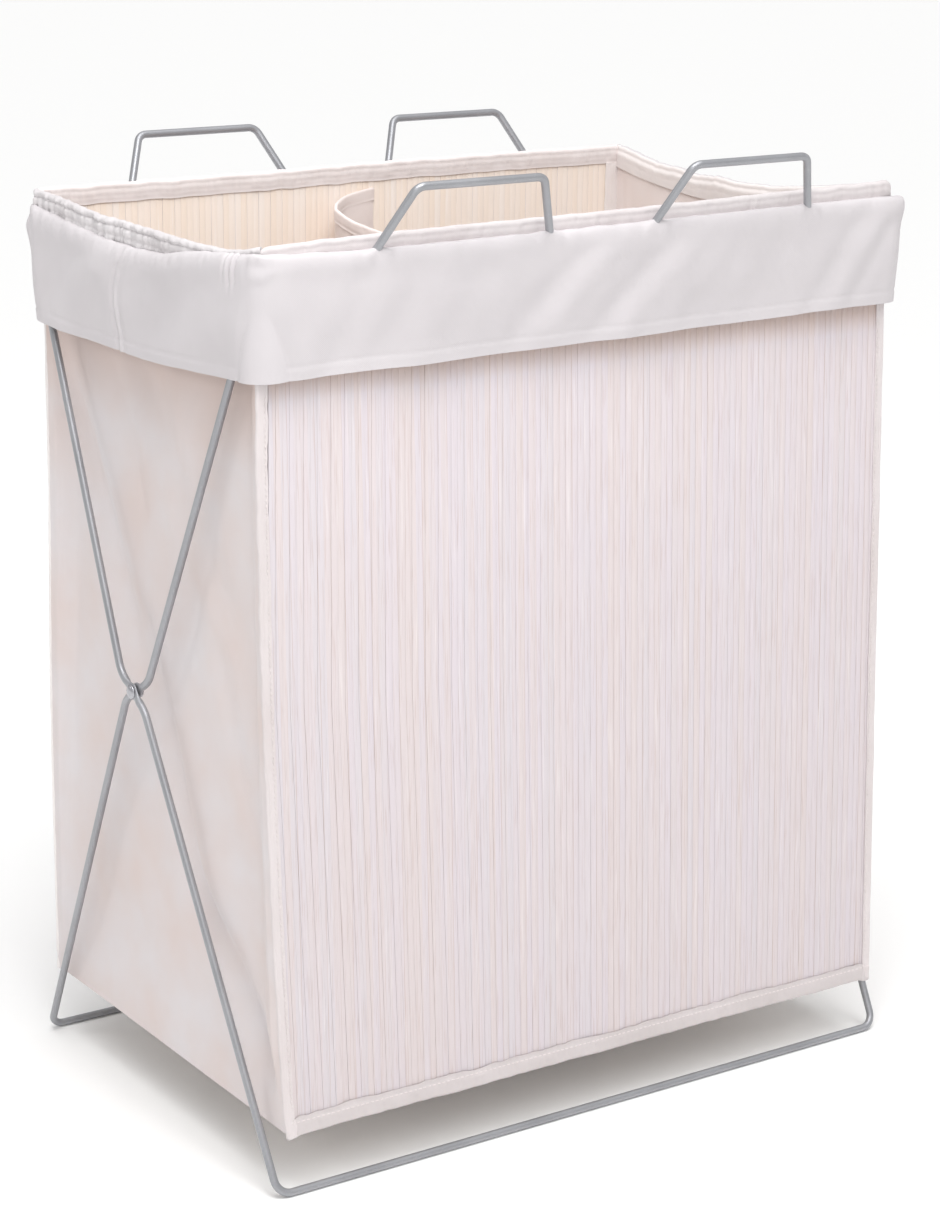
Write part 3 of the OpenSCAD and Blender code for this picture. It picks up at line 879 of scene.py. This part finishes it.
def hem_height(p):
    """Height of the cuff's lower edge at a point of its plan."""
    tx, ty = p.x / CUFF_X / 2 + 0.5, p.y / CUFF_Y / 2 + 0.5
    front = CUFF_LOW + 0.4 + 7.6 * tx
    rear = CUFF_LOW - 1.5 + 5.0 * tx
    left = ease((-p.x - CUFF_X + 30) / 24)
    sag = 5.0 * hump(p.y - 10, 120) * left - 3.4 * hump(p.y - CUFF_Y, 20) * hump(p.x + CUFF_X, 24)
    return front * (1 - ty) + rear * ty - sag + 1.1 * ripple(p.x / 90, p.y / 90, 61)


# Radius of the cuff's corners under its shoulder and how much more it is at its lower edge
CUFF_ROUND = {(-1, -1): (25.0, 13.0), (1, -1): (14.5, 3.0),
              (-1, 1): (33.0, 6.0), (1, 1): (20.0, 8.0)}
# Soft slanting folds in the cuff: the face, two ends as (distance along, height), depth and width
CUFF_FOLDS = (
    ("front", (-74, 628), (-8, 688), -1.9, 11), ("front", (-50, 622), (10, 684), 1.2, 11),
    ("front", (-8, 618), (58, 676), -2.0, 11), ("front", (20, 618), (84, 680), 1.2, 12),
    ("front", (128, 614), (190, 682), -1.1, 16), ("front", (196, 618), (246, 690), -1.4, 9),
    ("front", (218, 618), (270, 690), 1.0, 8), ("front", (240, 622), (280, 684), -1.4, 8),
    ("front", (-236, 612), (-200, 690), -1.2, 16), ("front", (-160, 612), (-128, 684), 1.0, 16),
    ("front", (-196, 618), (-168, 660), -0.9, 11), ("front", (70, 616), (120, 660), -0.9, 11),
    ("left", (150, 612), (80, 678), -2.6, 14), ("left", (110, 604), (40, 672), 2.0, 14),
    ("left", (-10, 616), (-110, 672), -2.6, 16), ("left", (-50, 604), (-150, 640), 1.4, 14),
    ("right", (-120, 610), (-30, 676), -2.4, 15), ("right", (20, 608), (120, 672), -2.0, 16),
    ("right", (-60, 606), (30, 670), 1.6, 14),
    ("rear", (-190, 612), (-120, 684), -2.0, 14), ("rear", (-20, 612), (60, 684), -2.2, 12),
    ("rear", (120, 612), (220, 680), -1.8, 14), ("rear", (10, 612), (84, 680), 1.6, 12),
    ("rear", (-250, 616), (-206, 676), 1.5, 10),
)
# Where the sides' upright cuff seams run: (height, place along Y)
CUFF_SIDE_SEAM = ((598, 15), (643, 22), (680, 6), (700, 4))
# Tucks pinched into the left side's cuff beside the front corner: (place along Y, depth)
TUCKS = ((-150, 7.5), (-157, 4.5), (-141, 1.8))
# Height of the cuff's cloth as it is laid out, and its rows
CUFF_DROP, CUFF_ROWS = 95, 56


def rounder(p, out, radius):
    """Moves a point of the cuff's plan on to a corner of a larger radius."""
    cx, cy = CUFF_X - radius, CUFF_Y - radius
    vx, vy = abs(p.x) - cx, abs(p.y) - cy
    if vx <= 0 or vy <= 0:
        return p, out
    way = Vector((math.copysign(vx, p.x), math.copysign(vy, p.y), 0)).normalized()
    return Vector((math.copysign(cx, p.x), math.copysign(cy, p.y), 0)) + way * radius, way


def stretched(p, out, place, room):
    """How far cloth at p stands out, in the direction out, where an upright edge holds it off."""
    edge = Vector((math.copysign(place[0], p.x), math.copysign(place[1], p.y), 0))
    away = edge - Vector((p.x, p.y, 0))
    aside = abs(away.x * out.y - away.y * out.x)
    return away.dot(out) + room - 0.012 * max(aside - 3, 0) ** 2


def leg_place(p, z):
    """Where the leg behind a point p of the cuff stands at height z."""
    t = max(RAIL_H - z, 0) / (RAIL_H - PIVOT_H - KINK_Z)
    return (RAIL_X + (PIVOT_X + math.copysign(WIRE_SHIFT, p.y) - RAIL_X) * t,
            RAIL_Y - (RAIL_Y - KINK_Y) * t)


def panel_edge_place(p, z):
    """Where the upright edge of the slat panel behind a point p of the cuff stands at height z."""
    x, y, _ = on_panel(math.copysign(1, p.y), math.copysign(BAG_HALF, p.x), PANEL_IN - 0.4,
                       (z - RAIL_H) / math.cos(PANEL_LEAN))
    return abs(x), abs(y)


def cuff_point(s, t):
    """Point of the cuff at s round the plan and t from its seam, 0, to its lower edge, 1."""
    p, out = cuff_plan(s)
    face = "left" if out.x < -0.7 else "right" if out.x > 0.7 else "front" if out.y < 0 else "rear"
    sideways = ease(abs(out.x))
    inset = SEAM_IN_Y + (SEAM_IN_X - SEAM_IN_Y) * sideways
    seam, low = seam_height(p, out), hem_height(p)
    which = (1 if p.x > 0 else -1, 1 if p.y > 0 else -1)
    round_high, rounder_low = CUFF_ROUND[which]
    round_top = CUFF_R + (10 if which == (-1, 1) else 0)
    p, out = rounder(p, out, round_top + (round_high - round_top) * ease(t / 0.16)
                     + rounder_low * ease((t - 0.3) / 0.7))
    place, way_round = p.y if face in ("left", "right") else p.x, p.x - p.y
    seam -= 0.5 * ripple(way_round / 15, 0, 60)
    corner = hump((CUFF_X - abs(p.x)) / 22, 1) * hump((CUFF_Y - abs(p.y)) / 22, 1)
    # Over the rails the shoulder is full and nearly level; along the sides it falls off sooner
    full = max(1 - sideways, corner if which == (1, -1) else 0) * (1 - 0.8 * corner * (p.x < 0))
    shoulder = 14 - 4.5 * full
    bend = 0.19
    if t < bend:
        a = math.pi / 2 * t / bend
        n = inset * (math.sin(a) ** (0.8 - 0.3 * full) - 1)
        z = seam + 2.2 * full * math.sin(2 * a) - shoulder * (1 - math.cos(a))
    else:
        n, z = 0.0, seam - shoulder - (seam - shoulder - low) * (t - bend) / (1 - bend)
    drop = ease((t - 0.05) / 0.3)
    for side, a, b, depth, width in CUFF_FOLDS:
        if side == face:
            off, along = from_line((place, z), a, b)
            ends = hump(max(abs(along - 0.5) - 0.35, 0), 0.3)
            n += depth * hump(off, width) * ends * drop
    slack = 1.2 * ripple(way_round / 75, z / 55, 63) + 0.5 * ripple(way_round / 22, z / 30, 67)
    n += drop * slack
    # Small gathers below the seam
    n += 0.55 * ripple(way_round / 7, t * 2, 68) * hump(t - 0.07, 0.09)
    n += 0.5 * ripple(way_round / 15, t, 69) * hump(t - 0.1, 0.12)
    # The front right corner bulges at its shoulder, and the rear left one hangs close to the bag
    if which == (1, -1):
        n += corner * (3.6 * hump(t - 0.14, 0.2) - 1.6 * ease((t - 0.4) / 0.5))
    elif which == (-1, 1):
        n -= corner * 1.8 * ease((t - 0.4) / 0.6)
    if which == (-1, -1):
        for y, depth in TUCKS:
            deep = depth * (hump(p.y - y, 2.1) - 0.3 * hump(p.y - y, 5)) * sideways
            n -= deep * hump(t - 0.1, 0.13)
            z -= 0.6 * deep * hump(t - 0.03, 0.1)
    # A folded hem along the lower edge
    edge = (1 - t) * (seam - low)
    n += 0.3 * ease((8.5 - edge) / 2) - 0.3 * hump(edge - 8.5, 1.2)
    # Feet of the handles draw the cloth in
    if face in ("front", "rear"):
        for x in (-HANDLE_X, HANDLE_X):
            for foot in (-1, 1):
                off = p.x - x - foot * (HANDLE_BASE / 2 - 5)
                n += 1.3 * hump(abs(off) - 7, 3) * hump(t - 0.1, 0.06)
                rise = 2.2 * hump(abs(off) - 1, 5) - 1.2 * hump(abs(off) - 13, 4)
                z += rise * hump(t - 0.1, 0.07)
    if sideways > 0.9:
        off = p.y - between([(h, y) for h, y in CUFF_SIDE_SEAM], z) * (1 if p.x < 0 else -1)
        off += 0.7 * ripple(z / 9, 0, 64)
        seam_fold = 1.0 * hump(off, 1.7) - 1.3 * hump(off - 4.4, 3.0) - 0.6 * hump(off + 5, 4)
        n += seam_fold * ease(t / 0.1)
        n += 1.4 * hump(off - 32, 24) * hump(t - 0.3, 0.3)
    # The hem hangs closer to the bag at the front and the back
    n -= 2.4 * ease((t - 0.4) / 0.6) * (1 - sideways)
    # Where a leg or a panel's edge stands behind the cloth, it bulges softly over it
    for upright, room in ((leg_place(p, z), WIRE_D / 2 + 0.9), (panel_edge_place(p, z), 1.9)):
        bulge = stretched(p, out, upright, room) - n
        n += (bulge + math.sqrt(bulge ** 2 + 0.25)) / 2 * ease((RAIL_H + 3 - z) / 14)
    q = p + out * n
    return (q.x, q.y, z)


def long_cuff(face, side_name, body):
    """Cuff across the front or the back, with the two corners at its ends."""
    middle = 0.5 if face < 0 else 4.5

    def place(u, v):
        # The straight takes most of the columns and each corner a small share of them
        corner = 0.07
        if u < corner:
            s = middle - 1.5 + u / corner
        elif u > 1 - corner:
            s = middle + 0.5 + (u - 1 + corner) / corner
        else:
            s = middle - 0.5 + (u - corner) / (1 - 2 * corner)
        return cuff_point(s % 8, 1 - v)

    piece = cloth(side_name + "_hanging_cuff", (2 * CUFF_X, CUFF_DROP), 300, CUFF_ROWS, place,
                  CUFF_CLOTH, CUFF_T)
    dress(piece, body, [side_name + "_cuff"])
    return piece


def side_cuff(side, side_name):
    """Cuff along a side, with its upright seam."""
    first = 2 if side > 0 else 6

    def place(u, v):
        return cuff_point(first + min(u, 0.99999), 1 - v)

    piece = cloth(side_name + "_hanging_cuff", (2 * CUFF_END_Y, CUFF_DROP), 420, CUFF_ROWS, place,
                  CUFF_CLOTH, CUFF_T)
    crumple(piece, [side_name + "_cuff"])
    return piece


# ---- Sides, divider and bottom ----

def inside_y(z):
    """Distance from the middle to just inside a slat panel at height z."""
    room = 0.3
    return on_panel(1, 0, PANEL_IN + PANEL_T + room, (z - RAIL_H) / math.cos(PANEL_LEAN))[1]


def paint_inside_lighter(piece, side, outer, lighter_inside):
    """Paints a side's cloth, and a lighter copy of the same cloth where it faces the bag's inside:
    painted light, standing in for the light inside the bag.
    """
    paint(piece, outer, lighter_inside)
    for polygon in piece.data.polygons:
        polygon.material_index = 1 if polygon.normal.x * side < -0.5 else 0


def rim_band(side, side_name):
    """Gathered band round the rim at a side: a soft roll of cloth drawn up by its seams."""
    rim, seam_line = SIDE_LINES[side]
    half = inside_y(RIM_H) + 2.0

    def place(u, v):
        y = (2 * v - 1) * half
        # Most of the gathers lie behind the middle, and the front end is smooth
        tucked = ease((y + 120) / 90)
        slack = 0.25 + 0.4 * tucked + 0.5 * hump(y - 45, 30) + 0.5 * hump(y - 128, 22)
        slack += 0.6 * hump(half - abs(y), 10)
        gather = ripple(y / 4.0, u * 1.6, 71 + side) + 0.9 * ripple(y / 8.5, u * 2.4, 73 + side)
        top = between(rim, y) + 0.6 * slack * ripple(y / 8, 0, 75 + side)
        top += 0.9 * ripple(y / 34, 0, 76 + side)
        outside = top - between(seam_line, y) + 3
        # The ends turn in behind the hems of the panels and are pinched shut
        end = min(max((abs(y) - half + 9) / 9, 0), 1)
        off = 1 - math.sqrt(1 - 0.98 * end ** 2)
        thick = (BAND_OUT - BAG_HALF + 1.2) * (1 - off) + 0.2 * (1 - end)
        depth, across = folded_edge(u, outside, outside + 2, thick)
        fade = ease((depth - 0.4) / 2.2)
        ridge = (0.3 + 1.2 * tucked) * hump(depth - 4.6, 1.1)
        ridge += 0.7 * tucked * hump(depth - 11.6, 1.5)
        share = (1 - off) * (0.15 if across > 0 else 1)
        across -= math.copysign(1, across) * ridge * fade * share
        across += (0.9 if across > 0 else 1.5) * slack * gather * (0.25 + 0.75 * fade) * share
        # Inside, it laps over the side cloth
        across += 1.7 * ease((depth - 3) / 5) * (1 - off) if across > 0 else 0
        lean = 0.6 * ripple(y / 46, 0.5, 77 + side) - 2.0 * off
        return (side * ((BAG_HALF - 1.2 + BAND_OUT) / 2 - across + lean), y, top - depth)

    piece = cloth(side_name + "_rim_gathers", (34, 2 * half), 52, 360, place, BAND_CLOTH, HEM_T)
    paint_inside_lighter(piece, side, BAND_CLOTH, BAND_INSIDE_PAINTED_LIGHTER)
    return crumple(piece, [side_name + "_rim_band"])


# Creases in the sides: two ends as (Y, height), depth and width
SIDE_CREASES = (
    ((160, 562), (34, 318), 9.0, 21), ((32, 384), (-68, 162), 8.5, 17),
    ((-42, 204), (-172, 84), 8.0, 16), ((40, 600), (-118, 420), 2.6, 20),
    ((-10, 596), (-60, 400), 1.6, 14), ((140, 170), (20, 120), 1.6, 20),
    ((70, 580), (30, 470), 1.8, 9), ((-90, 400), (-150, 250), 1.6, 12),
)


def side_cloth(side, side_name):
    """Plain cloth side between the panels: slack, drawn in between its edges, softly creased."""
    rim, seam_line = SIDE_LINES[side]

    def place(u, v):
        along = (2 * u - 1) * 178
        top = min(between(seam_line, along) + 4, between(rim, along) - 5)
        z = BAG_LOW + 0.6 + (top - BAG_LOW - 0.6) * v
        half = inside_y(z) + 3.2
        y = (2 * u - 1) * half
        edge = ease((half - abs(y)) / 34)
        ends = ease((z - BAG_LOW) / 70) * ease((top - z) / 60)
        slack = -7.5 * edge * edge * ends * (0.75 + 0.5 * ripple(y / 240, z / 300, 81 + side))
        slack += 2.4 * edge * ends * ripple(y / 70, z / 190, 83 + side)
        # The creases run from the upper back to the lower front, each with a soft ridge before it
        for start, end, depth, width in SIDE_CREASES:
            off, along = from_line((y, z), start, end)
            held = hump(max(abs(along - 0.5) - 0.4, 0), 0.14) * edge
            slack += depth * (0.3 * hump(off + 2 * width, 1.5 * width) - hump(off, width)) * held
        # The seam allowance inside shows as an upright ridge beside the back and the front seam
        slack += (1.1 * hump(half - y - 13, 3) - 0.9 * hump(half - y - 19, 4)) * ends
        slack += (0.9 * hump(half + y - 11, 3) - 0.7 * hump(half + y - 17, 4)) * ends
        # Upright ripples near the front and the back seams
        slack += 0.9 * hump(half - abs(y) - 16, 9) * ripple(z / 38, 0, 85 + side) * ends
        return settle(side * (BAG_HALF - 0.75 + slack), y, z)

    piece = cloth(side_name + "_side_panel", (380, RIM_H - 10 - BAG_LOW), 130, 190, place,
                  SIDE_CLOTH, SIDE_T)
    paint_inside_lighter(piece, side, SIDE_CLOTH, SIDE_INSIDE_PAINTED_LIGHTER)
    crumple(piece, [side_name + "_side_cloth"])
    return piece


# The divider's path across the bag, from the front to the back: (Y, X), and its top edge's heights
DIVIDER_PATH = ((-176, -12), (-130, 14), (-60, 12), (20, -12), (90, -32), (134, -34), (160, -10),
                (174, 26))
DIVIDER_TOP = ((-176, 676), (-120, 664), (-20, 655), (70, 662), (134, 675), (174, 684))


def divider_point(y, z, seed):
    """Point of the slack divider."""
    high = ease((z - BOARD_TOP) / 420)
    x = between(DIVIDER_PATH, y) * (0.25 + 0.75 * high)
    x += 2.5 * ripple(y / 60, z / 130, seed) * hump(y, 150)
    return settle(x, y, z)


def divider_sheet():
    """Slack cloth across the middle of the bag."""
    def place(u, v):
        y = 2 * u - 1
        top = between(DIVIDER_TOP, y * 175) - 8
        z = BOARD_TOP + 0.5 + (top - BOARD_TOP) * v
        return divider_point(y * (inside_y(z) + 0.2), z, 91)

    piece = cloth("middle_divider_sheet", (400, 620), 110, 130, place, DIVIDER_CLOTH, SIDE_T)
    crumple(piece, ["divider"])
    return piece


def divider_binding():
    """Hem folded over the divider's top edge."""
    def place(u, v):
        y = 2 * v - 1
        top = between(DIVIDER_TOP, y * 175)
        depth, across = folded_edge(u, 10, 10, 2.6)
        depth += 0.3 * ripple(y * 16, 0, 93)
        z = top - depth
        x, y, z = divider_point(y * (inside_y(z) + 0.2), z, 91)
        pucker = 0.5 * ripple(y / 7, depth / 12, 95)
        return (x + across + pucker - math.copysign(0.4, across) * hump(depth - 8.2, 1.0), y, z)

    piece = cloth("middle_divider_binding", (24, 400), 20, 220, place, DIVIDER_CLOTH, TAPE_T)
    return crumple(piece, ["divider_hem"])


def base_board():
    """Stiff board sewn into cloth: it keeps the bottom flat and sags a little in the middle."""
    half_x, half_y = BAG_HALF - 1.8, inside_y(BAG_LOW) + 1.5
    piece = block((2 * half_x, 2 * half_y, BOARD_TOP - BAG_LOW), (BAG_LOW + BOARD_TOP) / 2)
    edit(piece)
    bpy.ops.mesh.bevel(offset=1.3 * MM, segments=3, profile=0.6)
    leave_edit()
    edit(piece, "DESELECT")
    leave_edit()
    for polygon in piece.data.polygons:
        polygon.select = abs(polygon.normal.z) > 0.99 and polygon.area > 0.01
    bpy.ops.object.mode_set(mode="EDIT")
    bpy.ops.mesh.inset(thickness=9 * MM, depth=-0.35 * MM)
    bpy.ops.mesh.subdivide(number_cuts=40)
    leave_edit()

    def sag(x, y, z):
        room = ease((half_x - 14 - abs(x)) / 30) * ease((half_y - 14 - abs(y)) / 30)
        return settle(x, y, z + 0.7 * room * ripple(x / 70, y / 70, 97))

    reshape(piece, sag)
    smooth(piece, 40)
    paint(piece, BOARD_CLOTH)
    # The board lies flat, so its UV map is X and Y in metres
    layer = piece.data.uv_layers.active or piece.data.uv_layers.new(name="UVMap")
    for loop in piece.data.loops:
        layer.data[loop.index].uv = piece.data.vertices[loop.vertex_index].co.xy
    return crumple(named(piece, "base_board"), ["bottom_board"])


def edge_binding(face, side_name, body):
    """Both edge tapes of a slat panel."""
    left = edge_tape(face, -1, side_name + "_edge_binding")
    right = edge_tape(face, 1, "right_tape")
    only(left)
    right.select_set(True)
    bpy.ops.object.join()
    return dress(left, body, [side_name + "_edge_tapes"])


# ---- The hamper ----

wire_frame("front_foot_wire", 1, "front_foot_frame",
           ["front_floor_bar", "left_outer_leg", "right_outer_leg", "rear_rail"])
wire_frame("rear_foot_wire", -1, "rear_foot_frame",
           ["rear_floor_bar", "left_inner_leg", "right_inner_leg", "front_rail"])
for back, end, body in ((-1, "front", "rear_foot_frame"), (1, "rear", "front_foot_frame")):
    for side, hand in ((-1, "left"), (1, "right")):
        handle(f"{end}_{hand}_bent_handle", back, side, body, f"{end}_{hand}_handle")
for side, hand in ((-1, "left"), (1, "right")):
    rivet(f"{hand}_pivot_rivet", side, f"{hand}_rivet")

for face, end in ((-1, "front"), (1, "rear")):
    body = f"{end}_panel"
    slat_panel(face, end, body)
    edge_binding(face, end, body)
    foot_hem(face, end, body)
    rim_hem(face, end, body)
    rail_casing(face, end, body)
    long_cuff(face, end, body)
    panel_stitches(f"{end}_foot_stitches", face,
                   (-BAG_HALF + 4, -0.9, FOOT_HEM - 2.2 - PANEL_LEN),
                   int((2 * BAG_HALF - 8) / STITCH_STEP) + 1, True, body)
    for side, hand in ((-1, "left"), (1, "right")):
        panel_stitches(f"{end}_{hand}_tape_stitches", face,
                       (side * (BAG_HALF - TAPE_W + 2.0), PANEL_IN - 0.3, 8 + FOOT_HEM - PANEL_LEN),
                       int((PANEL_LEN - FOOT_HEM - 90) / STITCH_STEP), False, body)

for side, hand in ((-1, "left"), (1, "right")):
    rim_band(side, hand)
    side_cloth(side, hand)
    side_cuff(side, hand)
divider_binding()
divider_sheet()
base_board()


# ---- Floor, light and camera ----

SUN_ANGLE = math.radians(50)


def studio():
    """Pale floor, soft lights and the camera."""
    scene = bpy.context.scene
    deselect()
    bpy.ops.mesh.primitive_plane_add(size=80)
    floor = named(bpy.context.object, "studio_floor")
    paint(floor, matt_backdrop("matt_white_studio_paper"))
    world = bpy.data.worlds.new("pale_studio_air")
    scene.world = world
    world.use_nodes = True
    air = next(n for n in world.node_tree.nodes if n.type == "BACKGROUND")
    air.inputs["Color"].default_value = colour("#fbfbfc")
    air.inputs["Strength"].default_value = 0.47
    lamps = (
        ("front_left_softbox", "AREA", (-1.1, -1.6, 1.0), (0, 0, 0.4), 4, {"size": 0.9}),
        ("left_rear_softbox", "AREA", (-2.6, 1.3, 1.9), (0, 0, 0.4), 5, {"size": 0.45}),
        ("right_softbox", "AREA", (2.8, -0.6, 1.6), (0, 0, 0.4), 5, {"size": 1.4}),
        ("softbox_over_the_mouth", "AREA", (-0.35, -0.45, 1.45), (0.05, 0.15, 0.6), 4.5,
         {"size": 0.5}),
        ("high_front_light", "SUN", (-0.3, -1.38, 2.58), (0, 0, 0), 1.2, {"angle": SUN_ANGLE}),
        ("ceiling_light", "SUN", (0, 0, 3), (0, 0, 0), 0.74, {"angle": SUN_ANGLE}),
    )
    for name, kind, place, aim, power, settings in lamps:
        deselect()
        turn = (Vector(aim) - Vector(place)).to_track_quat("-Z", "Y").to_euler()
        bpy.ops.object.light_add(type=kind, location=place, rotation=turn)
        lamp = bpy.context.object
        lamp.name = name
        lamp.data.energy = power
        for setting, value in settings.items():
            setattr(lamp.data, setting, value)
    place, aim = Vector((-1.2564, -1.9020, 0.9775)), Vector((0.5328, 0.8056, -0.2593))
    deselect()
    bpy.ops.object.camera_add(location=place, rotation=aim.to_track_quat("-Z", "Y").to_euler())
    camera = bpy.context.object
    camera.name = "view_from_front_left"
    camera.data.lens = 86.65
    camera.data.sensor_width = 36
    camera.data.shift_x = 0.0051
    scene.camera = camera
    scene.view_settings.view_transform = "Standard"
    scene.view_settings.look = "None"


studio()
